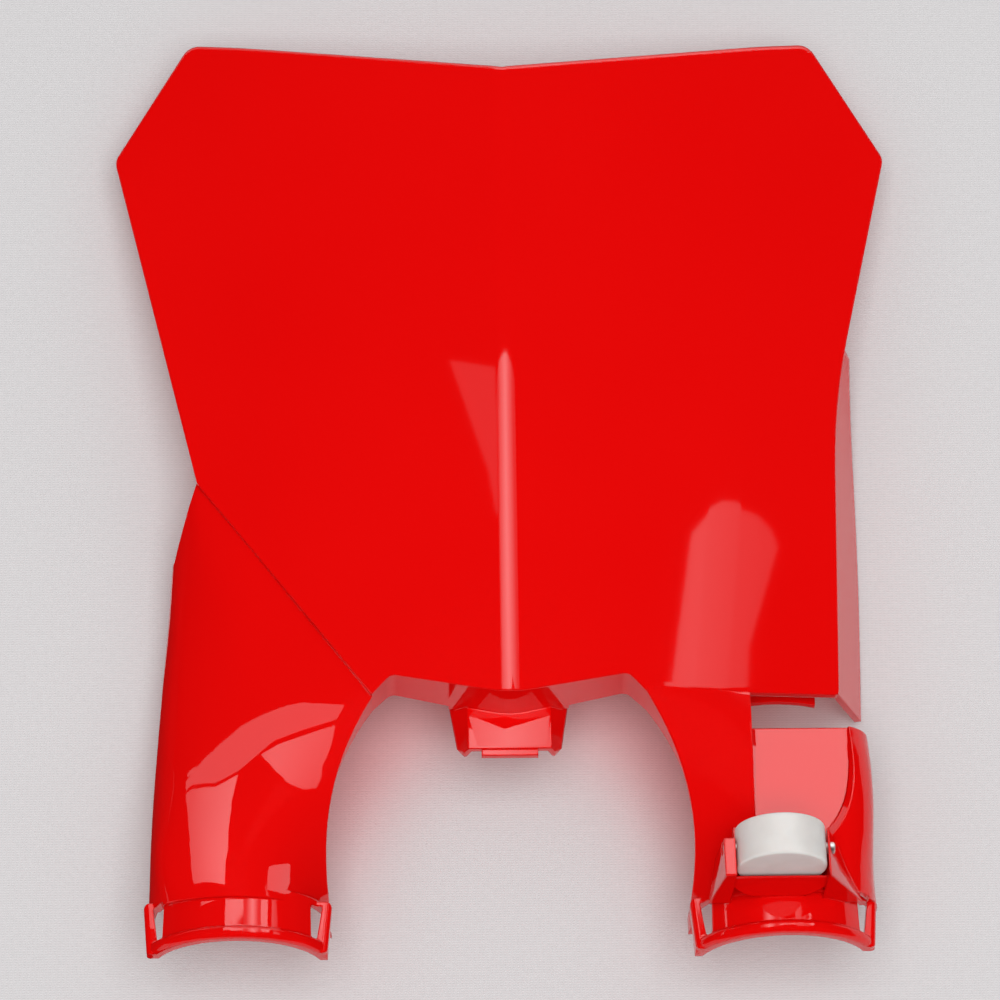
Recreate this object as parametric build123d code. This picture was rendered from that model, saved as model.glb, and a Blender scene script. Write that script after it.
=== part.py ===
from build123d import *
from math import cos, radians, sin, sqrt, tan
import os

os.makedirs("parts", exist_ok=True)

# Frame: +Z up along the fork tubes, front to -Y, origin midway between the two
# fork axes at half the height of the strap bands.

# fork tubes and strap bands
FORK_TUBE_D = 59.0
FORK_GAP = 0.1
FORK_SPACING = 187.8
BAND_H = 15.0
BAND_WALL = 2.3
LIP_H = 4.6
LIP_OUT = 2.0
LIP_ROUND = 1.9
SLOT_Z = (-2.6, 9.2)
SLOT_IN = 25.0
SLOT_OUT = (27.2, 29.0)
EAR_OUT = (30.8, 32.4)
EAR_FRONT_Y = -17.0
EAR_BACK_Y = (-12.5, -9.0)
EAR_TOP = 10.8
EAR_ROUND = 2.0
SLOT_ROUND = 0.8

# moulded walls
WALL = 2.5
PANEL_T = 3.0
PANEL_STEP = 2.2
TUCK = 5.0

# face of the board
LEAN = 12.0
V_ANGLE = 9.5
WING_ANGLE = 4.0
BEND_Z = 40.0
BEND_H = 300.0
BEND_LOW = 66.0
BEND_HIGH = 98.0
BEND_R = 170.0
RIDGE_R = 19.0
RIDGE_Y = -58.0
RIDGE_Z = 71.1
TOP_MID_Z = 295.5
TOP_CORNER = (113.7, 315.9)
SIDE_CORNER = (140.6, 275.8)
WAIST_LEFT = (109.0, 153.3)
WAIST_RIGHT = (118.1, 182.3)
FOOT_RIGHT = (115.4, 78.0)
STEP_X = 83.5
CREASE_Z = 76.0
PEAK = (41.0, 80.0)
SHOULDER = (47.5, 73.6)

# legs
LEG_LOW_Z = 4.0
LEG_R = 32.2
WINDOW_Z = (65.9, 76.6)
SKIRT_FOOT = (-38.0, 83.6)
FLOOR_Y = -36.0
FLOOR_T = 2.6
RIM_RISE = 6.0
ARCH_BACK_Y = -35.5
SADDLE_Z = (77.6, 96.0)
SADDLE_HALF = 28.0
SADDLE_END = 14.0

# drum, cross pin and pocket
DRUM_R = 15.2
DRUM_H = 14.6
DRUM_X = 90.2
DRUM_Y = -48.5
DRUM_Z = 16.6
DRUM_ROUND = 0.8
PIN_R = 2.0
PIN_GAP = 0.1
PIN_PRESS = 0.02
PIN_SHOW = 2.6
POCKET_R = 16.5
POCKET_WALL = 2.3
CHEEK_T = 3.8
CHEEK_EDGE = 0.5
CHEEK_TOP = (2.6, 6.0)
CHEEK_FOOT = (3.6, 14.0)
CHEEK_GAP = 0.4
CHEEK_FRONT = -52.0
SHELF_FRONT = -44.0
SHELF_LOW = 5.8
SHELF_FRONT_Z = 8.2
POCKET_FRONT = -37.0
POCKET_RISE = 5.0

# nose between the legs
NOSE_Y = -38.0
NOSE_BACK_Y = -31.0
NOSE_TAPER = 3.2
NOSE_HALF = (14.4, 21.0)
NOSE_Z = (58.3, 78.0)
NOSE_TAB_HALF = 9.8
NOSE_TAB_Z = 56.0

fork_x = FORK_SPACING / 2
saddle_r = FORK_TUBE_D / 2 + FORK_GAP
band_r = saddle_r + BAND_WALL
band_top = BAND_H / 2
band_low = -BAND_H / 2


def bend_x(z):
    """Half-width of the flat part of the face, inside the bent-back wings."""
    return BEND_LOW + (z - BEND_Z) * (BEND_HIGH - BEND_LOW) / BEND_H


def face_y(x, z):
    """Y of the board's face, before its ridge and bends are rounded."""
    lean = (z - RIDGE_Z) * tan(radians(LEAN))
    y = RIDGE_Y - lean + abs(x) * tan(radians(V_ANGLE))
    past = max(abs(x) - bend_x(z), 0)
    return y + past * (tan(radians(V_ANGLE + WING_ANGLE)) - tan(radians(V_ANGLE)))


def prism(face, y_front, y_back):
    """A shape drawn in X and Z, carried along Y."""
    return Pos(0, y_back, 0) * extrude(Plane.XZ * face, amount=y_back - y_front)


def block(x, y, z):
    """A box between two limits on each axis."""
    size = (x[1] - x[0], y[1] - y[0], z[1] - z[0])
    middle = ((x[0] + x[1]) / 2, (y[0] + y[1]) / 2, (z[0] + z[1]) / 2)
    return Pos(*middle) * Box(*size)


def upright(radius, x, y, z):
    """A round bar along Z between two heights."""
    return Pos(x, y, (z[0] + z[1]) / 2) * Cylinder(radius, z[1] - z[0])


def face_section(z):
    """Level cut through everything behind the board's face."""
    far = 170.0
    bend = bend_x(z)
    path = FilletPolyline(
        (-far, 30),
        (-far, face_y(far, z)),
        (-bend, face_y(bend, z)),
        (0, face_y(0, z)),
        (bend, face_y(bend, z)),
        (far, face_y(far, z)),
        (far, 30),
        radius=[0, 0, BEND_R, RIDGE_R, BEND_R, 0, 0],
        close=True,
    )
    return Pos(0, 0, z) * make_face(path)


core = loft([face_section(BEND_Z), face_section(BEND_Z + BEND_H)], ruled=True)

outline = FilletPolyline(
    (0, TOP_MID_Z),
    (TOP_CORNER[0], TOP_CORNER[1]),
    (SIDE_CORNER[0], SIDE_CORNER[1]),
    (WAIST_RIGHT[0], WAIST_RIGHT[1]),
    (FOOT_RIGHT[0], FOOT_RIGHT[1]),
    (STEP_X, CREASE_Z),
    (SHOULDER[0] - 1.8, CREASE_Z),
    (PEAK[0], PEAK[1]),
    (0, RIDGE_Z - 0.4),
    (-PEAK[0], PEAK[1]),
    (-SHOULDER[0], SHOULDER[1]),
    (-WAIST_LEFT[0], WAIST_LEFT[1]),
    (-SIDE_CORNER[0], SIDE_CORNER[1]),
    (-TOP_CORNER[0], TOP_CORNER[1]),
    radius=[0, 6, 5, 240, 1.5, 0, 0, 4, 30, 4, 1, 4, 5, 6],
    close=True,
)
panel = (core - Pos(0, PANEL_T, 0) * core) & prism(make_face(outline), -150, 20)


def shifted(points, amount):
    """Moves the points of a path to its right by the given amount."""
    moved = []
    for i, (x, y) in enumerate(points):
        before = points[max(i - 1, 0)]
        after = points[min(i + 1, len(points) - 1)]
        tx, ty = after[0] - before[0], after[1] - before[1]
        size = sqrt(tx * tx + ty * ty)
        moved.append((x + ty / size * amount, y - tx / size * amount))
    return moved


def inset(points):
    """Moves a leg section's points into the leg by the wall thickness."""
    moved = shifted(points, WALL)
    moved[0] = (points[0][0] - WALL, points[0][1])
    return moved


def leg_section(z, points, back):
    """Closed level section of a leg, from its outer side to its inner side."""
    outer, inner = points[0], points[-1]
    skin = Spline(*points)
    rest = Polyline(inner, (inner[0], back), (outer[0], back), outer)
    return Pos(0, 0, z) * make_face(skin + rest)


def leg_pair(sections, ruled=False):
    """Outer body of a leg and the hollow inside it."""
    outer = [leg_section(z, points, 1.0) for z, points in sections]
    inner = [leg_section(z, inset(points), 12.0) for z, points in sections]
    return loft(outer, ruled=ruled), loft(inner, ruled=ruled)


def round_section(radius):
    """Half-round start of a leg where it leaves the band."""
    points = []
    for angle in (0, 30, 60, 90, 120, 150, 176):
        turn = radians(angle)
        points.append((fork_x + radius * cos(turn), -radius * sin(turn)))
    return points


def behind(xs, z, step):
    """Points that follow the face of the board, a step behind it."""
    return [(x, face_y(x, z) + step) for x in xs]


RIGHT_INNER = [(77, -35.8), (64.5, -30.5), (54, -25)]
right_low = [
    (LEG_LOW_Z, [(128.0, 0), (126.8, -13), (122.0, -21.5), (111.5, -28.5)] + round_section(LEG_R)[3:]),
    (36, [(126.9, 0), (126.3, -20), (124.0, -32), (118.4, -37.4), (106, -39.6), (90, -38.6)] + RIGHT_INNER),
    (CREASE_Z, [(126.0, 0), (125.4, -20), (123.4, -30), (118, -35)] + behind((104, 84, 60, 38), CREASE_Z, 0)),
]
right_top = [
    (CREASE_Z, behind((100, 84, 60, 38), CREASE_Z, 0)),
    (CREASE_Z + 8, behind((100, 84, 60, 38), CREASE_Z + 8, 0.5)),
]
LEFT_X = (80, 60, 38)
LEFT_INNER = [(76, -37), (63, -31.5), (52, -26)]
left_legs = [
    (LEG_LOW_Z, round_section(LEG_R)),
    (40, [(124.9, 0), (123.9, -17), (119.8, -27), (110.5, -33.2), (93, -38)] + LEFT_INNER),
    (76, [(124.1, 0), (123.3, -14), (119.2, -25), (111, -31.8), (100, -37)] + behind(LEFT_X, 76, PANEL_STEP)),
    (112, [(121.4, 0), (120.6, -20), (116.9, -32.6), (109.6, -39.6)] + behind((98,) + LEFT_X, 112, PANEL_STEP)),
    (150, [(118.1, 0), (117.5, -34), (114.6, -46), (110, -51)] + behind((102,) + LEFT_X, 150, PANEL_STEP)),
    (188, [(116.6, 0), (115.8, -44), (112, -58)] + behind((102,) + LEFT_X, 188, PANEL_STEP)),
]

right_out, right_in = leg_pair(right_low)
right_cap, right_cap_in = leg_pair(right_top, ruled=True)
left_out, left_in = [mirror(body, about=Plane.YZ) for body in leg_pair(left_legs)]

# space between the legs
ARCH_SIDE = [(60.8, LEG_LOW_Z), (63.2, 18), (63.4, 32), (59.6, 50), SHOULDER]
ARCH_TOP = [PEAK, (0, RIDGE_Z - 0.4)]


def arch_face(grow):
    """The opening between the legs, grown outward by a wall thickness."""
    side = shifted(ARCH_SIDE, grow)
    top_x, top_z = ARCH_TOP[0]
    roof = [(top_x + 0.6 * grow, top_z + grow), (0, ARCH_TOP[1][1] + grow)]
    left = [(-x, z) for x, z in reversed(side)]
    path = FilletPolyline(
        side[-1], roof[0], roof[1], (-roof[0][0], roof[0][1]), left[0],
        radius=[4 + grow, 30, 4 + grow],
    )
    low_x = side[0][0]
    sill = Polyline(left[-1], (-low_x, -30), (low_x, -30), side[0])
    return make_face(Spline(*side) + path + Spline(*left) + sill)


arch = arch_face(0)
arch_wall = arch_face(WALL) - arch
arch_strip = prism(arch_wall, -90, ARCH_BACK_Y) & block((-70, 70), (-90, 0), (20, 90))

# left leg
hidden = Polyline(
    (-WAIST_LEFT[0] + 0.8 * TUCK, WAIST_LEFT[1] + 0.6 * TUCK),
    (-SHOULDER[0] + 0.8 * TUCK, SHOULDER[1] + 0.6 * TUCK),
    (-20, SHOULDER[1]),
    (-20, 200),
    (-WAIST_LEFT[0] + 0.8 * TUCK, 200),
    close=True,
)
shoulder_cut = Polyline((-117.6, 132), (-107.4, 160), (-107.4, 200), (-140, 200), (-140, 132), close=True)
left_leg = left_out - left_in - prism(make_face(hidden), -150, 30)
left_leg -= prism(make_face(shoulder_cut), -150, 30)
back_cut = extrude(
    Plane.YZ * make_face(Polyline(
        (6, 8), (-3, 8), (-9, 30), (-15, 60), (-20.5, 112), (-50, 186), (-50, 200), (6, 200), close=True)),
    amount=80,
    both=True,
)
left_leg -= Pos(-140, 0, 0) * back_cut
left_leg -= upright(saddle_r, -fork_x, 0, (-20, SADDLE_Z[1] + 40))

# right leg, with the hose channel and its window
def channel_face(rim_points):
    """Outline of the hose channel, bounded on its outer side by the rim."""
    top, foot = rim_points[0], rim_points[-1]
    rest = Polyline(foot, (STEP_X, foot[1]), (STEP_X, top[1]), top)
    return make_face(Spline(*rim_points) + rest)


RIM = [(117.6, 90), (117.4, 62), (114.4, 42), (106.8, 26)]
RIM_FRONT = [(120.0, 90), (119.6, 60.5), (120.6, 35.6), (113.4, 19.2)]
right_leg = right_out - right_in
right_leg -= prism(channel_face(RIM), -90, FLOOR_Y)
right_leg -= loft([
    Pos(0, FLOOR_Y, 0) * (Plane.XZ * channel_face(RIM)),
    Pos(0, FLOOR_Y - RIM_RISE, 0) * (Plane.XZ * channel_face(RIM_FRONT)),
], ruled=True)
right_leg -= block((STEP_X, 160), (-90, 20), (WINDOW_Z[0], 90))
floor = block((STEP_X - WALL, 124), (FLOOR_Y, FLOOR_Y + FLOOR_T), (8, WINDOW_Z[0]))
step = block((STEP_X - WALL, STEP_X), (-60, FLOOR_Y + FLOOR_T), (12, CREASE_Z))
right_leg += (floor + step) & right_out
right_leg -= upright(saddle_r, fork_x, 0, (-20, SADDLE_Z[1]))
cap = (right_cap - right_cap_in) - block((STEP_X + 0.5, 160), (-150, 30), (60, 100))
cap &= block((0, 160), (-150, -40), (60, 100))

skins = (left_leg + right_leg + cap) - prism(arch, -150, 30)
strip = (arch_strip & left_out) + (arch_strip & right_out)
strip += arch_strip & core & block((-SHOULDER[0], SHOULDER[0]), (-90, 0), (60, 90))

board = panel + skins + strip


def end_face(end, x, inside, outside, z_low, z_high):
    """Slanted bar in X and Z at one end of a band, narrower at its foot."""
    low_in, high_in = inside
    low_out, high_out = outside
    return make_face(Polyline(
        (x + end * low_in, z_low),
        (x + end * low_out, z_low),
        (x + end * high_out, z_high),
        (x + end * high_in, z_high),
        close=True,
    ))


def strap_band(side_sign):
    """Half-round band with its lower lip and slotted ends."""
    x = side_sign * fork_x
    ring = upright(band_r, x, 0, (band_low, band_top + 4))
    lip = upright(band_r + LIP_OUT, x, 0, (band_low, band_low + LIP_H))
    lip = fillet(lip.edges().filter_by(GeomType.CIRCLE), LIP_ROUND)
    body = ring + lip
    ears = []
    for end in (-1, 1):
        back_y = EAR_BACK_Y[0] if end == side_sign else EAR_BACK_Y[1]
        near, far = sorted((x, x + end * 60))
        body -= block((near, far), (back_y, 60), (-60, 60))
        body -= prism(end_face(end, x, EAR_OUT, (60, 60), band_low, EAR_TOP), -60, 20)
        ear = prism(end_face(end, x, (20, 20), EAR_OUT, band_low, EAR_TOP), EAR_FRONT_Y, back_y)
        outer_side = ear.faces().sort_by(Axis.X)[0 if end < 0 else -1]
        ears.append(fillet(outer_side.edges(), EAR_ROUND))
    body += ears
    body -= upright(saddle_r, x, 0, (-60, 60))
    return body


def strap_slots(side_sign):
    """The two openings that a strap passes through."""
    x = side_sign * fork_x
    cuts = []
    for end in (-1, 1):
        opening = end_face(end, x, (SLOT_IN + 0.3, SLOT_IN), SLOT_OUT, SLOT_Z[0], SLOT_Z[1])
        cuts.append(prism(fillet(opening.vertices(), SLOT_ROUND), -40, 10))
    return cuts


def groove(side_sign):
    """Strap groove round the band; its upper edge climbs toward the ends."""
    x = side_sign * fork_x
    room = upright(band_r + 12, x, 0, (band_low + LIP_H, 30)) - upright(band_r, x, 0, (-40, 60))
    under_slope = Polyline((-60, band_top - 3), (10, band_top + 4), (10, -20), (-60, -20), close=True)
    slope = extrude(Plane.YZ * make_face(under_slope), amount=60, both=True)
    return room & (Pos(x, 0, 0) * slope)


for sign in (-1, 1):
    board -= groove(sign)
    board += strap_band(sign)
    for cut in strap_slots(sign):
        board -= cut

# saddles behind the face, one on each fork tube
saddles = []
for sign in (-1, 1):
    x = sign * fork_x
    ring = upright(saddle_r + WALL, x, 0, SADDLE_Z) - upright(saddle_r, x, 0, (0, 150))
    inner, outer = x - sign * SADDLE_HALF, x + sign * SADDLE_END
    ring &= block((min(inner, outer), max(inner, outer)), (-60, 0), SADDLE_Z)
    rib_x = sign * (fork_x - 25)
    rib = block((rib_x - WALL / 2, rib_x + WALL / 2), (-70, -18), SADDLE_Z)
    rib += block((x - WALL / 2, x + WALL / 2), (-70, -saddle_r - 1), (SADDLE_Z[0] + 7, SADDLE_Z[1]))
    saddles.append((ring, rib))
left_room = Pos(0, WALL / 2, 0) * left_out
board += saddles[0][0] + (saddles[0][1] & left_room & (Pos(0, PANEL_T / 2, 0) * core))
board += saddles[1][0] + (saddles[1][1] & (Pos(0, PANEL_T / 2, 0) * core))


def skirt_section(z, edge_x, depth):
    """Level cut through the flange that runs back from the right edge."""
    flare = radians(20)
    y = face_y(edge_x, z) + 0.6
    bx, by = edge_x + depth * sin(flare), y + depth * cos(flare)
    ix, iy = -WALL * cos(flare), WALL * sin(flare)
    path = Polyline((edge_x, y), (bx, by), (bx + ix, by + iy), (edge_x + ix, y + iy), close=True)
    return Pos(0, 0, z) * make_face(path)


skirt = loft([
    skirt_section(78.0, 115.3, 35.6),
    skirt_section(120.0, 116.4, 35.4),
    skirt_section(160.0, 117.5, 31.0),
    skirt_section(185.0, 119.3, 22.3),
    skirt_section(203.0, 122.8, 8.5),
])
skirt_foot = Polyline((-60, 76), (SKIRT_FOOT[0], 78), (10, SKIRT_FOOT[1]), (10, 76), close=True)
board += skirt - extrude(Plane.YZ * make_face(skirt_foot), amount=160)

# nose
half_f, half_b = NOSE_HALF


def nose_section(z, half_front, half_back, grow, back):
    """Level cut through the nose."""
    path = Polyline((-half_back - grow, back), (-half_front - grow / 2, NOSE_Y - grow),
                    (half_front + grow / 2, NOSE_Y - grow), (half_back + grow, back), close=True)
    return Pos(0, 0, z) * make_face(path)


def nose_body(grow, back):
    """The nose, tapered toward its foot."""
    return loft([
        nose_section(NOSE_Z[0], half_f, half_b - NOSE_TAPER, grow, back),
        nose_section(NOSE_Z[1], half_f, half_b, grow, back),
    ], ruled=True)


nose = nose_body(0, NOSE_BACK_Y) - nose_body(-WALL, NOSE_BACK_Y + 1)
corner_cut = Polyline((15.8, NOSE_Z[0]), (24, NOSE_Z[0] + 9), (24, NOSE_Z[0]), close=True)
nose -= prism(make_face(corner_cut), -60, 0)
nose -= mirror(prism(make_face(corner_cut), -60, 0), about=Plane.YZ)
nose_tab = block((-NOSE_TAB_HALF, NOSE_TAB_HALF), (NOSE_Y + 0.6, NOSE_Y + 3.2), (NOSE_TAB_Z, NOSE_Z[0] + 4))
roof_plate = block((-half_b, half_b), (-80, NOSE_BACK_Y - 2), (70, 90)) & (
    prism(arch_wall, -90, NOSE_BACK_Y) & core)
board += nose + nose_tab + roof_plate

# pocket, cheeks and shelf round the drum
drum_low = DRUM_Z - DRUM_H / 2
drum_high = DRUM_Z + DRUM_H / 2
cheek_in = DRUM_R + CHEEK_GAP
pocket_body = upright(POCKET_R + POCKET_WALL, DRUM_X, DRUM_Y, (SHELF_LOW, drum_high + POCKET_RISE))
pocket_room = block((50, 140), (POCKET_FRONT, 0), (0, 60))
pocket_body &= pocket_room + block((50, 140), (SHELF_FRONT, 0), (0, drum_low))
pocket_body &= block((DRUM_X - cheek_in - 1, DRUM_X + cheek_in + 1), (-90, 0), (0, 60))
under_edge = [(-70, SHELF_LOW), (-70, SHELF_FRONT_Z), (SHELF_FRONT, SHELF_FRONT_Z), (-33, SHELF_LOW)]
under_path = Polyline(*under_edge, close=True)
under = extrude(Plane.YZ * make_face(under_path), amount=160)
pocket_body -= upright(saddle_r, fork_x, 0, (-20, 80)) + under
board += pocket_body


def cheek_section(end, z, width, foot_out, foot_y):
    """Level cut through an ear and the flank that braces it."""
    near, far = DRUM_X + end * cheek_in, DRUM_X + end * (cheek_in + width)
    foot = far + end * foot_out
    path = Polyline((near, CHEEK_FRONT), (far, CHEEK_FRONT), (foot, foot_y), (near, foot_y), close=True)
    return Pos(0, 0, z) * make_face(path)


for end, width, foot_out, top in (
    (-1, CHEEK_T, CHEEK_FOOT[0], CHEEK_TOP[0]),
    (1, CHEEK_EDGE, CHEEK_FOOT[1], CHEEK_TOP[1]),
):
    low = cheek_section(end, SHELF_LOW, width, foot_out, -25.0)
    high = cheek_section(end, DRUM_Z + top, width, 0.4 * foot_out, -33.0)
    board += loft([low, high], ruled=True) - upright(saddle_r + 1, fork_x, 0, (-20, 80))
pocket = upright(POCKET_R, DRUM_X, DRUM_Y, (7.6, drum_high + POCKET_RISE - 2))
pocket &= block((DRUM_X - cheek_in, DRUM_X + cheek_in), (-90, 0), (0, 60))
above_shelf = Polyline((-70, 8.6), (SHELF_FRONT, 8.6), (-31, 7.6), (-31, 60), (-70, 60), close=True)
slope = extrude(Plane.YZ * make_face(above_shelf), amount=80, both=True)
board -= pocket & (Pos(DRUM_X, 0, 0) * slope)
pin_bar = Pos(DRUM_X, DRUM_Y, DRUM_Z) * (Rot(0, 90, 0) * Cylinder(PIN_R + PIN_PRESS, 60))
board -= pin_bar & block((DRUM_X - 22, DRUM_X + 22), (-80, -40), (0, 40))

# drum and cross pin
drum = upright(DRUM_R, DRUM_X, DRUM_Y, (drum_low, drum_high))
drum = fillet(drum.edges(), DRUM_ROUND)
drum -= Pos(DRUM_X, DRUM_Y, DRUM_Z) * (Rot(0, 90, 0) * Cylinder(PIN_R + PIN_GAP, 60))
pin_left = DRUM_X - cheek_in - CHEEK_T
pin_right = DRUM_X + cheek_in + PIN_SHOW
pin_mid = (pin_left + pin_right) / 2
pin = Pos(pin_mid, DRUM_Y, DRUM_Z) * (Rot(0, 90, 0) * Cylinder(PIN_R, pin_right - pin_left))
pin = chamfer(pin.edges().filter_by(GeomType.CIRCLE), 0.4)

print("solids", len(board.solids()), [round(s.volume) for s in board.solids()])
export_step(board, "parts/number_board.step")
export_step(drum, "parts/hose_guide.step")
export_step(pin, "parts/guide_pin.step")
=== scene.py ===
"""Dresses the red number board and its white hose guide, and lights them on a pale cloth."""

import logging
import math
from dataclasses import dataclass, field
from enum import Enum
from typing import Union

import bpy
from mathutils import Matrix, Vector

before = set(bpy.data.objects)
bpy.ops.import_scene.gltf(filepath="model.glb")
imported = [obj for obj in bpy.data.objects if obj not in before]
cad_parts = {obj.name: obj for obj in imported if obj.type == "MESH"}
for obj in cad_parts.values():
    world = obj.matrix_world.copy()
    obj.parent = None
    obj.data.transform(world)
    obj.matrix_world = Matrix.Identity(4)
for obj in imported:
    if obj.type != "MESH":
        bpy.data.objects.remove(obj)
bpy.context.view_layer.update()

LOG = logging.getLogger("number_board")
Number = Union[int, float]
Colour = tuple[float, float, float]
Point = tuple[float, float, float]
Spot = tuple[float, float]
WHITE: Colour = (1.0, 1.0, 1.0)
BLACK: Colour = (0.002, 0.002, 0.002)
RED_SHADE: Colour = (0.30, 0.012, 0.012)


def linear(red: int, green: int, blue: int) -> Colour:
    """Turns a screen colour into the linear colour that shaders use.

    Args:
        red: Screen red, 0 to 255.
        green: Screen green, 0 to 255.
        blue: Screen blue, 0 to 255.

    Returns:
        The linear red, green and blue.
    """
    parts = []
    for value in (red, green, blue):
        share = value / 255
        parts.append(share / 12.92 if share <= 0.04045 else ((share + 0.055) / 1.055) ** 2.4)
    return (parts[0], parts[1], parts[2])


class Value:
    """A node's output socket that takes part in Python sums."""

    def __init__(self, shop: "NodeShop", socket: bpy.types.NodeSocket) -> None:
        """Keeps the socket and the builder of its tree."""
        self.shop = shop
        self.socket = socket

    def __add__(self, other: "Operand") -> "Value":
        """Sum of two values."""
        return self.shop.math("ADD", self, other)

    def __radd__(self, other: "Operand") -> "Value":
        """Sum with a number in front."""
        return self.shop.math("ADD", other, self)

    def __sub__(self, other: "Operand") -> "Value":
        """Difference of two values."""
        return self.shop.math("SUBTRACT", self, other)

    def __rsub__(self, other: "Operand") -> "Value":
        """Difference with a number in front."""
        return self.shop.math("SUBTRACT", other, self)

    def __mul__(self, other: "Operand") -> "Value":
        """Product of two values."""
        return self.shop.math("MULTIPLY", self, other)

    def __rmul__(self, other: "Operand") -> "Value":
        """Product with a number in front."""
        return self.shop.math("MULTIPLY", other, self)

    def __pow__(self, other: "Operand") -> "Value":
        """A value raised to a power."""
        return self.shop.math("POWER", self, other)

    def __rpow__(self, other: "Operand") -> "Value":
        """A number raised to a value."""
        return self.shop.math("POWER", other, self)

    def beside(self, output: str | int) -> "Value":
        """Another output of the same node, by its name or number."""
        return Value(self.shop, self.socket.node.outputs[output])


Operand = Union[Value, Number]


class NodeShop:
    """Builds the nodes of one material or world."""

    def __init__(self, tree: bpy.types.NodeTree) -> None:
        """Starts with an empty tree."""
        self.tree = tree
        self.tree.nodes.clear()

    def make(
        self,
        kind: str,
        settings: dict[str, object] | None = None,
        inputs: dict[str | int, object] | None = None,
        output: str | int = 0,
    ) -> Value:
        """Adds a node.

        Args:
            kind: The node's type.
            settings: Its own settings, set before anything is joined to it.
            inputs: Values or links for its input sockets.
            output: The output socket to give back.

        Returns:
            That output, ready for sums.
        """
        node = self.tree.nodes.new(kind)
        for name, value in (settings or {}).items():
            setattr(node, name, value)
        for name, value in (inputs or {}).items():
            if isinstance(value, Value):
                self.tree.links.new(value.socket, node.inputs[name])
            elif isinstance(value, tuple) and node.inputs[name].type == "RGBA":
                node.inputs[name].default_value = (*value, 1.0)
            else:
                node.inputs[name].default_value = value
        return Value(self, node.outputs[output] if node.outputs else None)

    def math(self, operation: str, first: Operand, second: Operand = 0.0) -> Value:
        """Adds a Math node, with a second value where its operation has one."""
        return self.make("ShaderNodeMath", {"operation": operation}, {0: first, 1: second})

    def mix(self, amount: Operand, first: object, second: object, blend: str = "MIX") -> Value:
        """Mixes two colours.

        Args:
            amount: Share of the second colour.
            first: First colour.
            second: Second colour.
            blend: How the second colour is laid on the first.

        Returns:
            The mixed colour.
        """
        return self.make(
            "ShaderNodeMix",
            {"data_type": "RGBA", "blend_type": blend},
            {"Factor": amount, 6: first, 7: second},
            output=2,
        )

    def noise(self, place: Value, scale: float, detail: float = 2.0) -> Value:
        """Soft noise between 0 and 1, of scale cells per metre and detail finer layers."""
        inputs = {"Vector": place, "Scale": scale, "Detail": detail}
        return self.make("ShaderNodeTexNoise", inputs=inputs)

    def place(self) -> Value:
        """Coordinates fixed to the piece."""
        return self.make("ShaderNodeTexCoord", output="Object")

    def bevel(self, radius: float) -> Value:
        """Surface direction with the sharp edges shaded round, at a radius in metres."""
        return self.make("ShaderNodeBevel", {"samples": 8}, {"Radius": radius})

    def bump(
        self, height: Value, depth: float, strength: float, normal: Value | None = None
    ) -> Value:
        """Surface direction with small heights shaded in.

        Args:
            height: The heights, 0 to 1.
            depth: What a height of 1 stands for, in metres.
            strength: Share of the effect.
            normal: The direction to start from, if not the surface's own.

        Returns:
            The direction.
        """
        inputs = {"Strength": strength, "Distance": depth, "Height": height}
        if normal is not None:
            inputs["Normal"] = normal
        return self.make("ShaderNodeBump", inputs=inputs)

    def one_sided(self, face: Value) -> Value:
        """Makes a surface clear when it is seen from behind.

        Args:
            face: The surface's shader.

        Returns:
            The shader for both sides.
        """
        clear = self.make("ShaderNodeBsdfTransparent")
        back = self.make("ShaderNodeNewGeometry", output="Backfacing")
        return self.make("ShaderNodeMixShader", inputs={0: back, 1: face, 2: clear})

    def finish(self, surface: Value) -> None:
        """Joins a shader to the material's output."""
        self.make("ShaderNodeOutputMaterial", inputs={"Surface": surface})


def new_material(name: str) -> tuple[bpy.types.Material, NodeShop]:
    """Starts a material.

    Args:
        name: Its name.

    Returns:
        The material and the builder of its nodes.
    """
    material = bpy.data.materials.new(name)
    material.use_nodes = True
    return material, NodeShop(material.node_tree)


@dataclass(frozen=True)
class RedPlastic:
    """Glossy moulded red plastic with soft edges and a faint moulded ripple.

    Its edges are rounder from the height rim_from upwards, where the rim of the face is.
    """

    colour: Colour = linear(229, 9, 8)
    deep: Colour = linear(222, 5, 5)
    cloud_scale: float = 9.0
    roughness: float = 0.032
    rough_spread: float = 0.02
    ior: float = 1.49
    edge_radius: float = 0.0009
    rim_radius: float = 0.0018
    rim_from: float = 0.17
    ripple_scale: float = 420.0
    ripple_depth: float = 0.00002
    ripple_strength: float = 0.04

    def build(self) -> bpy.types.Material:
        """Makes the material.

        Returns:
            The material.
        """
        material, shop = new_material("red_plastic")
        place = shop.place()
        cloud = shop.noise(place, self.cloud_scale)
        ripple = shop.noise(place, self.ripple_scale, 3.0)
        rise = shop.make("ShaderNodeSeparateXYZ", inputs={0: place}, output=2)
        upper = shop.math("GREATER_THAN", rise, self.rim_from)
        soft = shop.make(
            "ShaderNodeMix",
            {"data_type": "VECTOR"},
            {0: upper, 4: shop.bevel(self.edge_radius), 5: shop.bevel(self.rim_radius)},
            output=1,
        )
        surface = shop.make(
            "ShaderNodeBsdfPrincipled",
            inputs={
                "Base Color": shop.mix(cloud, self.colour, self.deep),
                "Roughness": self.roughness + self.rough_spread * ripple,
                "IOR": self.ior,
                "Normal": shop.bump(ripple, self.ripple_depth, self.ripple_strength, soft),
            },
        )
        shop.finish(surface)
        return material


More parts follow.
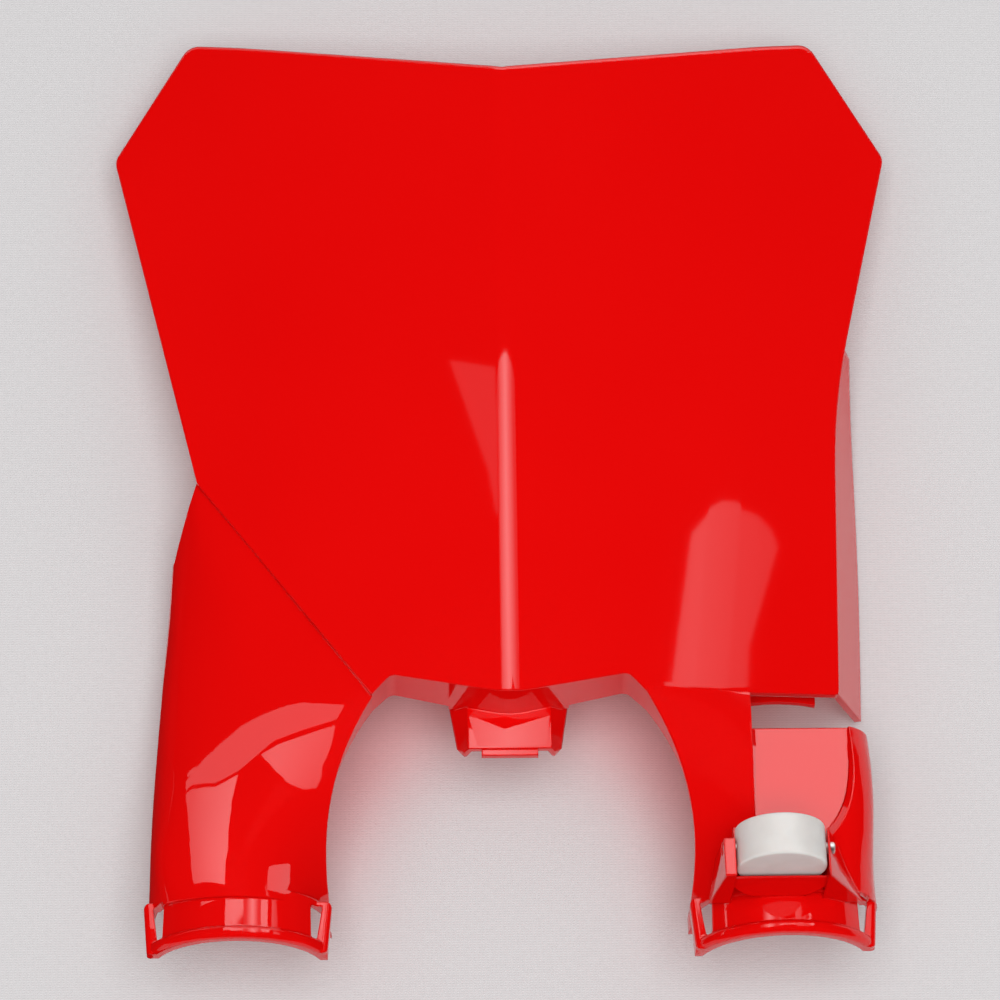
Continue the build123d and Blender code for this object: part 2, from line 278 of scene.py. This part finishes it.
@dataclass(frozen=True)
class WhiteNylon:
    """Cloudy white nylon, turned, with soft edges."""

    colour: Colour = linear(225, 222, 219)
    warm: Colour = linear(208, 202, 198)
    cloud_scale: float = 120.0
    roughness: float = 0.38
    rough_spread: float = 0.12
    ior: float = 1.5
    glow_share: float = 0.35
    glow_reach: Point = (0.004, 0.003, 0.0025)
    edge_radius: float = 0.0008
    grain_scale: float = 900.0
    grain_depth: float = 0.0001
    grain_strength: float = 0.08

    def build(self) -> bpy.types.Material:
        """Makes the material.

        Returns:
            The material.
        """
        material, shop = new_material("white_nylon")
        place = shop.place()
        cloud = shop.noise(place, self.cloud_scale, 4.0)
        grain = shop.noise(place, self.grain_scale)
        edge = shop.bevel(self.edge_radius)
        surface = shop.make(
            "ShaderNodeBsdfPrincipled",
            inputs={
                "Base Color": shop.mix(cloud, self.colour, self.warm),
                "Roughness": self.roughness + self.rough_spread * cloud,
                "IOR": self.ior,
                "Subsurface Weight": self.glow_share,
                "Subsurface Radius": self.glow_reach,
                "Subsurface Scale": 1.0,
                "Normal": shop.bump(grain, self.grain_depth, self.grain_strength, edge),
            },
        )
        shop.finish(surface)
        return material


@dataclass(frozen=True)
class PinSteel:
    """Pale satin steel with lengthwise lines."""

    colour: Colour = (0.82, 0.79, 0.77)
    roughness: float = 0.44
    rough_spread: float = 0.2
    line_scale: Point = (60.0, 2600.0, 2600.0)

    def build(self) -> bpy.types.Material:
        """Makes the material.

        Returns:
            The material.
        """
        material, shop = new_material("pin_steel")
        drawn = shop.make(
            "ShaderNodeMapping", inputs={"Vector": shop.place(), "Scale": self.line_scale}
        )
        lines = shop.noise(drawn, 1.0, 3.0)
        surface = shop.make(
            "ShaderNodeBsdfPrincipled",
            inputs={
                "Base Color": self.colour,
                "Metallic": 1.0,
                "Roughness": self.roughness + self.rough_spread * lines,
            },
        )
        shop.finish(surface)
        return material


@dataclass(frozen=True)
class BackdropCloth:
    """Pale ribbed cloth, seen only from its face, with painted shade and painted red bounce light
    where the red legs shade it.

    That painted red follows an ellipse, the arch between the legs, and fades over the given
    width share of the ellipse's size and over the given reach up and down from a given height.
    """

    colour: Colour = linear(219, 217, 218)
    dark: Colour = linear(202, 200, 201)
    rib: float = 0.0009
    rib_height: float = 0.22
    wander_scale: float = 60.0
    wander: float = 2.0
    knot: float = 0.00153
    knot_height: float = 0.2
    fuzz_scale: float = 500.0
    fuzz_height: float = 0.5
    mean_height: float = 0.25
    weave_depth: float = 0.0002
    weave_strength: float = 0.3
    # Painted shade and red bounce light: the cloth's colour is multiplied by this pink round the arch.
    painted_bounce_colour: Colour = (1.0, 0.62, 0.63)
    arch_middle: Spot = (0.002, -0.125)
    arch_half: Spot = (0.066, 0.075)
    painted_bounce_middle: float = -0.08
    painted_bounce_reach: float = 0.05
    painted_bounce_width: float = 0.34

    def _painted_bounce_share(self, shop: NodeShop, across: Value, along: Value) -> Value:
        """Share of the painted red bounce light and shade, highest along the edge of the arch between
        the legs.

        Args:
            shop: The cloth's nodes.
            across: Place across the cloth.
            along: Place up the cloth.

        Returns:
            The share, from 0 to 1.
        """
        side = (across - self.arch_middle[0]) * (1 / self.arch_half[0])
        rise = (along - self.arch_middle[1]) * (1 / self.arch_half[1])
        off = ((side * side + rise * rise) ** 0.5 - 1.0) * (1 / self.painted_bounce_width)
        height = (along - self.painted_bounce_middle) * (1 / self.painted_bounce_reach)
        return shop.math("EXPONENT", (off * off + height * height) * -1.0)

    def _weave(self, shop: NodeShop, place: Value, across: Value, along: Value) -> Value:
        """Heights of the ribs, the knots on them and the fuzz.

        Args:
            shop: The cloth's nodes.
            place: Place on the cloth.
            across: Place across the cloth.
            along: Place up the cloth.

        Returns:
            The heights, about 0 to 1.
        """
        wander = shop.noise(place, self.wander_scale) * self.wander
        ribs = shop.math("SINE", along * (2 * math.pi / self.rib) + wander)
        knots = shop.math("SINE", across * (2 * math.pi / self.knot))
        fuzz = shop.noise(place, self.fuzz_scale, 3.0) * self.fuzz_height
        return ribs * (knots * self.knot_height + self.rib_height) + fuzz + self.mean_height

    def build(self) -> bpy.types.Material:
        """Makes the material.

        Returns:
            The material.
        """
        material, shop = new_material("backdrop_cloth")
        place = shop.place()
        across = shop.make("ShaderNodeSeparateXYZ", inputs={0: place})
        along = across.beside(1)
        height = self._weave(shop, place, across, along)
        weave = shop.mix(height, self.dark, self.colour)
        # Painted shade and red bounce light: pink multiplied into the cloth round the arch between the
        # legs.
        painted_bounce_colouring = shop.mix(self._painted_bounce_share(shop, across, along), WHITE, self.painted_bounce_colour)
        face = shop.make(
            "ShaderNodeBsdfDiffuse",
            inputs={
                "Color": shop.mix(1.0, weave, painted_bounce_colouring, "MULTIPLY"),
                "Normal": shop.bump(height, self.weave_depth, self.weave_strength),
            },
        )
        shop.finish(shop.one_sided(face))
        return material


class Finish(Enum):
    """The finishes on the part."""

    RED = RedPlastic()
    NYLON = WhiteNylon()
    STEEL = PinSteel()


@dataclass
class Part:
    """The three moulded and turned pieces, in the CAD frame."""

    finishes: dict[str, Finish] = field(
        default_factory=lambda: {
            "number_board": Finish.RED,
            "hose_guide": Finish.NYLON,
            "guide_pin": Finish.STEEL,
        }
    )

    def dress(self) -> None:
        """Gives every CAD node its finish."""
        for name, finish in self.finishes.items():
            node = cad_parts[name]
            material = finish.value.build()
            node.data.materials.clear()
            node.data.materials.append(material)
            LOG.info("%s: %s", name, material.name)


@dataclass(frozen=True)
class View:
    """The photograph's camera: its place, its axes and its lens."""

    place: Point = (-0.03527, -1.0586, -0.37011)
    right: Point = (0.9995, -0.0232, -0.0191)
    up: Point = (0.0064, -0.4575, 0.8892)
    look: Point = (0.0293, 0.8889, 0.4571)
    lens: float = 115.2
    sensor: float = 36.0
    sight: float = 20.0

    def build(self) -> None:
        """Makes the camera and the scene's view of it."""
        data = bpy.data.cameras.new("camera")
        data.lens = self.lens
        data.sensor_width = self.sensor
        data.clip_end = self.sight
        camera = bpy.data.objects.new("camera", data)
        bpy.context.scene.collection.objects.link(camera)
        axes = Matrix((self.right, self.up, tuple(-v for v in self.look))).transposed()
        camera.matrix_world = Matrix.Translation(self.place) @ axes.to_4x4()
        bpy.context.scene.camera = camera


def show_only_in_gloss(thing: bpy.types.Object) -> None:
    """Hides a studio object from all but mirrored rays.

    Args:
        thing: The object.
    """
    thing.visible_camera = False
    thing.visible_diffuse = False
    thing.visible_transmission = False
    thing.visible_volume_scatter = False
    thing.visible_shadow = False


def hang_card(name: str, corners: tuple[Point, ...], material: bpy.types.Material) -> None:
    """Hangs a flat card that only mirrored rays see.

    Args:
        name: The card's name.
        corners: Its corners, in order round its edge.
        material: Its surface.
    """
    bpy.ops.object.select_all(action="DESELECT")
    bpy.ops.mesh.primitive_circle_add(vertices=len(corners), fill_type="NGON")
    card = bpy.context.object
    card.name = name
    for vertex, corner in zip(card.data.vertices, corners):
        vertex.co = corner
    card.data.materials.append(material)
    show_only_in_gloss(card)


def matt_finish(name: str, colour: Colour) -> bpy.types.Material:
    """Makes a matt surface.

    Args:
        name: The material's name.
        colour: Its linear colour.

    Returns:
        The material.
    """
    material, shop = new_material(name)
    shop.finish(shop.make("ShaderNodeBsdfDiffuse", inputs={"Color": colour}))
    return material


def glow_finish(name: str, bright: float) -> bpy.types.Material:
    """Makes an evenly glowing surface.

    Args:
        name: The material's name.
        bright: Its brightness.

    Returns:
        The material.
    """
    material, shop = new_material(name)
    shop.finish(shop.make("ShaderNodeEmission", inputs={"Strength": bright}))
    return material


@dataclass(frozen=True)
class LightCard:
    """A bright card in front of the part, clear from its far side, that only the gloss shows.

    The outline is in X and Z, on a plane of one Y. The card is brightest on the
    line x = middle, and falls to its edge brightness over the given spread.
    """

    name: str
    outline: tuple[Spot, ...]
    y: float
    middle: float
    spread: float
    bright: float
    edge: float

    def finish(self) -> bpy.types.Material:
        """Makes the card's glowing surface.

        Returns:
            The material.
        """
        material, shop = new_material(self.name)
        across = shop.make("ShaderNodeSeparateXYZ", inputs={0: shop.place()})
        off = shop.math("ABSOLUTE", across - self.middle)
        share = shop.math("MINIMUM", off * (1 / self.spread), 1.0)
        rim = self.edge / self.bright
        glow = shop.mix(share, WHITE, (rim, rim, rim))
        light = shop.make("ShaderNodeEmission", inputs={"Color": glow, "Strength": self.bright})
        shop.finish(shop.one_sided(light))
        return material

    def build(self) -> None:
        """Cuts the card and hangs it, its bright face towards the part."""
        corners = [(x, self.y, z) for x, z in self.outline]
        ring = zip(corners, corners[1:] + corners[:1])
        turn = sum(here[0] * after[2] - after[0] * here[2] for here, after in ring)
        hang_card(self.name, tuple(corners if turn < 0 else corners[::-1]), self.finish())


@dataclass(frozen=True)
class GlowCard:
    """An evenly bright card, at any slant, that only the gloss shows."""

    name: str
    corners: tuple[Point, ...]
    bright: float

    def build(self) -> None:
        """Cuts the card and hangs it."""
        hang_card(self.name, self.corners, glow_finish(self.name, self.bright))


@dataclass(frozen=True)
class DarkFlag:
    """A dark screen near the part that only its gloss shows."""

    name: str
    corners: tuple[Point, ...]
    colour: Colour = BLACK

    def build(self) -> None:
        """Cuts the flag and hangs it."""
        hang_card(self.name, self.corners, matt_finish(self.name, self.colour))


LIGHT_CARDS: tuple[LightCard, ...] = (
    LightCard(
        name="ridge_card",
        outline=(
            (-0.060, 0.066), (-0.014, 0.066), (-0.006, 0.050), (0.008, 0.050), (0.016, 0.066),
            (0.062, 0.066), (0.062, 0.203), (0.045, 0.2095), (0.010, 0.2125), (-0.030, 0.2115),
            (-0.050, 0.206), (-0.060, 0.195),
        ),
        y=-0.30, middle=0.0, spread=0.041, bright=4.6, edge=0.6,
    ),
    LightCard(
        name="fin_card",
        outline=(
            (-0.087, 0.214), (-0.0735, 0.1655), (-0.0715, 0.147), (-0.0655, 0.147),
            (-0.0655, 0.2085),
        ),
        y=-0.30, middle=-0.075, spread=0.02, bright=0.6, edge=0.6,
    ),
    LightCard(
        name="side_card",
        outline=(
            (0.1605, 0.070), (0.242, 0.070), (0.2405, 0.100), (0.251, 0.145), (0.247, 0.152),
            (0.239, 0.158), (0.215, 0.162), (0.198, 0.1615), (0.174, 0.1545), (0.167, 0.146),
        ),
        y=-0.30, middle=0.170, spread=0.075, bright=1.65, edge=0.8,
    ),
    LightCard(
        name="leg_band_card",
        outline=(
            (-0.164, 0.083), (-0.143, 0.076), (-0.1245, 0.0735), (-0.111, 0.0735), (-0.085, 0.0755),
            (-0.078, 0.075), (-0.061, 0.070), (-0.063, 0.0645), (-0.089, 0.0655), (-0.105, 0.0615),
            (-0.120, 0.063), (-0.158, 0.076),
        ),
        y=-0.06, middle=-0.09, spread=0.08, bright=1.6, edge=1.4,
    ),
    LightCard(
        name="leg_left_card",
        outline=(
            (-0.156, 0.0735), (-0.1195, 0.0615), (-0.1045, 0.060), (-0.104, 0.050),
            (-0.0965, 0.0255), (-0.0995, 0.0055), (-0.137, 0.0045), (-0.140, 0.0415),
            (-0.145, 0.0595),
        ),
        y=-0.06, middle=-0.098, spread=0.045, bright=3.7, edge=1.5,
    ),
    LightCard(
        name="leg_right_card",
        outline=(
            (-0.0945, 0.063), (-0.088, 0.0635), (-0.063, 0.062), (-0.0595, 0.043),
            (-0.051, 0.0275), (-0.075, 0.0455),
        ),
        y=-0.06, middle=-0.086, spread=0.03, bright=3.0, edge=1.7,
    ),
    LightCard(
        name="nose_card",
        outline=((-0.014, 0.0745), (-0.0015, 0.069), (0.0145, 0.074), (0.013, 0.063), (-0.011, 0.0625)),
        y=-0.046, middle=0.0, spread=0.015, bright=4.2, edge=2.4,
    ),
)

GLOW_CARDS: tuple[GlowCard, ...] = (
    GlowCard(
        name="overhead_card",
        corners=((-0.5, -0.45, 0.62), (0.5, -0.45, 0.62), (0.5, -0.05, 0.62), (-0.5, -0.05, 0.62)),
        bright=1.4,
    ),
    GlowCard(
        name="leg_low_card",
        corners=(
            (-0.073, -0.028, 0.0205), (-0.076, -0.037, 0.018), (-0.0755, -0.0375, 0.012),
            (-0.072, -0.028, 0.012), (-0.0715, -0.026, 0.0155),
        ),
        bright=2.0,
    ),
)

DARK_FLAGS: tuple[DarkFlag, ...] = (
    DarkFlag(
        name="right_leg_flag",
        corners=(
            (0.0625, -0.0495, 0.076), (0.0745, -0.0495, 0.0765), (0.087, -0.0495, 0.078),
            (0.087, -0.0495, 0.065), (0.070, -0.0495, 0.069), (0.0625, -0.0495, 0.0735),
        ),
    ),
    DarkFlag(
        name="left_ring_flag",
        corners=(
            (-0.150, -0.036, -0.020), (-0.0985, -0.036, -0.020),
            (-0.0985, -0.036, 0.0085), (-0.150, -0.036, 0.0085),
        ),
    ),
    DarkFlag(
        name="left_edge_flag",
        corners=(
            (-2.5, 0.165, -0.50), (-0.1265, 0.039, -0.06),
            (-0.1265, -0.0283, 0.175), (-2.5, -0.322, 1.20),
        ),
        colour=RED_SHADE,
    ),
    DarkFlag(
        name="arch_flag",
        corners=(
            (-0.03, -0.045, -0.04), (-0.03, 0.01, -0.04),
            (-0.03, 0.01, 0.055), (-0.03, -0.045, 0.055),
        ),
        colour=RED_SHADE,
    ),
)


@dataclass(frozen=True)
class Lamp:
    """One soft lamp of the studio.

    A lamp that isn't mirrored lights no gloss, and one that is mirrored_only lights gloss alone.
    """

    name: str
    way: Point
    distance: float
    size: Spot
    watts: float
    mirrored: bool = True
    mirrored_only: bool = False


@dataclass
class Studio:
    """Cloth, lamps, cards and surroundings.

    The cloth leans back by tilt degrees and lies the gap behind the part, its middle moved
    up the slope by cloth_rise. The half-round screen in front is cut off at Y screen_cut.
    """

    centre: Point = (0.0, -0.06, 0.15)
    tilt: float = 16.0
    gap: float = 0.0015
    reach: float = 1.6
    cloth_rise: float = 0.15
    screen_radius: float = 5.0
    screen_cut: float = 0.1
    fill: float = 0.50
    pale: Colour = linear(222, 220, 221)
    lamps: tuple[Lamp, ...] = (
        Lamp("top_lamp", (0.20, -0.83, 0.53), 3.2, (2.6, 1.6), 50.0, mirrored_only=True),
        Lamp("front_lamp", (0.03, -0.90, -0.36), 1.7, (1.3, 1.3), 20.5, mirrored=False),
    )

    def build(self) -> None:
        """Sets up the cloth, the lamps, the cards and the surroundings."""
        self._cloth()
        self._dark_front()
        for lamp in self.lamps:
            self._lamp(lamp)
        for card in (*LIGHT_CARDS, *GLOW_CARDS, *DARK_FLAGS):
            card.build()
        self._surroundings()

    def _cloth(self) -> None:
        """Lays the cloth just behind the part, whose back the room lights through it."""
        slope = math.radians(self.tilt)
        back = Vector((0.0, math.cos(slope), math.sin(slope)))
        upward = Vector((0.0, -math.sin(slope), math.cos(slope)))
        deepest = max(
            back.dot(vertex.co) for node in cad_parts.values() for vertex in node.data.vertices
        )
        bpy.ops.object.select_all(action="DESELECT")
        bpy.ops.mesh.primitive_plane_add(size=2 * self.reach)
        cloth = bpy.context.object
        cloth.name = "backdrop"
        turn = Matrix(((1.0, 0.0, 0.0), upward, -back)).transposed()
        middle = back * (deepest + self.gap) + upward * self.cloth_rise
        cloth.matrix_world = Matrix.Translation(middle) @ turn.to_4x4()
        cloth.data.materials.append(BackdropCloth().build())
        cloth.visible_diffuse = False

    def _dark_front(self) -> None:
        """Hangs a half-round black screen far in front, so that the face mirrors a dark room."""
        bpy.ops.object.select_all(action="DESELECT")
        bpy.ops.mesh.primitive_uv_sphere_add(
            segments=48, ring_count=24, radius=self.screen_radius
        )
        screen = bpy.context.object
        screen.name = "dark_front"
        bpy.ops.object.mode_set(mode="EDIT")
        bpy.ops.mesh.select_all(action="SELECT")
        bpy.ops.mesh.bisect(
            plane_co=(0.0, self.screen_cut, 0.0), plane_no=(0.0, 1.0, 0.0), clear_outer=True
        )
        bpy.ops.object.mode_set(mode="OBJECT")
        screen.data.materials.append(matt_finish("dark_front", BLACK))
        show_only_in_gloss(screen)

    def _lamp(self, lamp: Lamp) -> None:
        """Hangs one lamp, facing the part.

        Args:
            lamp: The lamp.
        """
        data = bpy.data.lights.new(lamp.name, "AREA")
        data.shape = "RECTANGLE"
        data.size, data.size_y = lamp.size
        data.energy = lamp.watts
        body = bpy.data.objects.new(lamp.name, data)
        bpy.context.scene.collection.objects.link(body)
        way = Vector(lamp.way).normalized()
        body.location = Vector(self.centre) + way * lamp.distance
        body.rotation_euler = way.to_track_quat("Z", "Y").to_euler()
        body.visible_camera = False
        body.visible_glossy = lamp.mirrored
        body.visible_diffuse = not lamp.mirrored_only

    def _surroundings(self) -> None:
        """Sets the room: even light for matt surfaces, and a pale room for all other rays."""
        world = bpy.data.worlds.new("studio")
        bpy.context.scene.world = world
        world.use_nodes = True
        world.cycles.sampling_method = "NONE"
        shop = NodeShop(world.node_tree)
        direct = shop.make("ShaderNodeLightPath", output="Is Camera Ray")
        mirrored = shop.math("MAXIMUM", direct, direct.beside("Is Glossy Ray"))
        rays = shop.math("MAXIMUM", mirrored, direct.beside("Is Transmission Ray"))
        room = shop.make("ShaderNodeBackground", inputs={"Color": WHITE, "Strength": self.fill})
        seen = shop.make("ShaderNodeBackground", inputs={"Color": self.pale, "Strength": 1.0})
        surface = shop.make("ShaderNodeMixShader", inputs={0: rays, 1: room, 2: seen})
        shop.make("ShaderNodeOutputWorld", inputs={"Surface": surface})


def write_sizes() -> None:
    """Brings the scene's objects up to date."""
    bpy.context.view_layer.update()


def main() -> None:
    """Builds the scene."""
    logging.basicConfig(level=logging.INFO)
    bpy.context.scene.view_settings.view_transform = "Standard"
    Part().dress()
    View().build()
    Studio().build()
    write_sizes()


if __name__ == "__main__":
    main()
